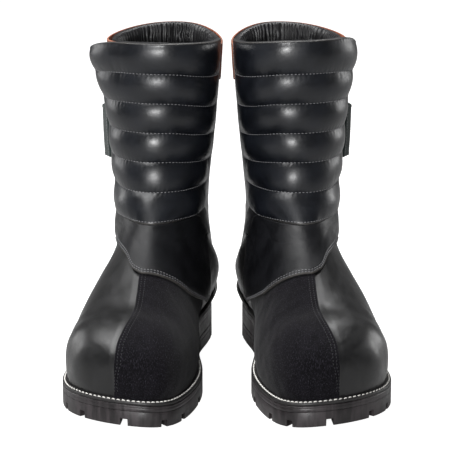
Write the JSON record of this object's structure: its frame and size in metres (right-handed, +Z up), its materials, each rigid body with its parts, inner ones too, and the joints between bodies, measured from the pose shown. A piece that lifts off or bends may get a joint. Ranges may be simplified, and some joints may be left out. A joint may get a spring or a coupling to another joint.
{
  "type": "fire boots",
  "caption": "Pair of calf-high black leather fire boots with a quilted padded shin panel, a fold-open front flap, side closure straps, toe caps and lugged welted soles.",
  "frame": {"origin": "on the ground, at the middle of the pair", "axes": "+X from the right boot to the left boot, as worn; -Y towards the toes; +Z up"},
  "size_m": [0.2726, 0.3045, 0.286],
  "materials": {
    "smooth_leather": "polished black, fine grain",
    "suede_leather": "matt black nap",
    "tan_leather": "matt reddish brown",
    "lining_leather": "soft black nappa",
    "welt_leather": "waxed black",
    "webbing": "woven, matt",
    "binding": "woven tape, matt",
    "loop_pile": "napped loop pile",
    "elastic": "ribbed elastic",
    "rubber": "satin black",
    "thread": "waxed off-white thread",
    "board": "pressed fibre board",
    "foam": "textile-topped foam",
    "steel": "zinc-coated sheet"
  },
  "bodies": {
    "right_boot": {"right_ankle_elastic": "elastic", "right_collar_band": "tan_leather", "right_collar_lining": "lining_leather", "right_foot_lining": "lining_leather", "right_footbed": "foam", "right_gusset": "lining_leather", "right_heel_block": "rubber", "right_heel_cover": "smooth_leather", "right_heel_stiffener": "board", "right_insole_board": "board", "right_instep_panel": "smooth_leather", "right_lateral_quarter": "smooth_leather", "right_loop_patch": "loop_pile", "right_medial_quarter": "smooth_leather", "right_midsole": "rubber", "right_outsole": "rubber", "right_puncture_plate": "steel", "right_rear_shaft": "smooth_leather", "right_shaft_lining": "lining_leather", "right_shank": "steel", "right_shin_panel": "smooth_leather", "right_toe_cap": "steel", "right_vamp_smooth": "smooth_leather", "right_vamp_suede": "suede_leather", "right_welt": "welt_leather", "right_welt_stitching": "thread"},
    "right_flap": {"right_shin_flap": "smooth_leather", "right_flap_binding": "binding"},
    "right_strap": {"right_closure_strap": "webbing"},
    "left_boot": {"left_ankle_elastic": "elastic", "left_collar_band": "tan_leather", "left_collar_lining": "lining_leather", "left_foot_lining": "lining_leather", "left_footbed": "foam", "left_gusset": "lining_leather", "left_heel_block": "rubber", "left_heel_cover": "smooth_leather", "left_heel_stiffener": "board", "left_insole_board": "board", "left_instep_panel": "smooth_leather", "left_lateral_quarter": "smooth_leather", "left_loop_patch": "loop_pile", "left_medial_quarter": "smooth_leather", "left_midsole": "rubber", "left_outsole": "rubber", "left_puncture_plate": "steel", "left_rear_shaft": "smooth_leather", "left_shaft_lining": "lining_leather", "left_shank": "steel", "left_shin_panel": "smooth_leather", "left_toe_cap": "steel", "left_vamp_smooth": "smooth_leather", "left_vamp_suede": "suede_leather", "left_welt": "welt_leather", "left_welt_stitching": "thread"},
    "left_flap": {"left_shin_flap": "smooth_leather", "left_flap_binding": "binding"},
    "left_strap": {"left_closure_strap": "webbing"}
  },
  "joints": [
    {"name": "left_boot_apart", "type": "slide", "parent": "right_boot", "child": "left_boot", "axis": [1, 0, 0], "range_m": [0, 0.3]},
    {"name": "right_flap_fold", "type": "hinge", "parent": "right_boot", "child": "right_flap", "pos_m": [-0.0839, 0.0163, 0.1584], "axis": [-0.0043, -0.0114, 0.9999], "range_deg": [0, 65]},
    {"name": "right_strap_release", "type": "hinge", "parent": "right_flap", "child": "right_strap", "pos_m": [-0.10488, 0.07969, 0.19728], "axis": [-0.0417, -0.026, 0.9988], "range_deg": [0, 100]},
    {"name": "left_flap_fold", "type": "hinge", "parent": "left_boot", "child": "left_flap", "pos_m": [0.0839, 0.0163, 0.1584], "axis": [-0.0043, 0.0114, -0.9999], "range_deg": [0, 65]},
    {"name": "left_strap_release", "type": "hinge", "parent": "left_flap", "child": "left_strap", "pos_m": [0.10488, 0.07969, 0.19728], "axis": [-0.0417, 0.026, -0.9988], "range_deg": [0, 100]}
  ]
}
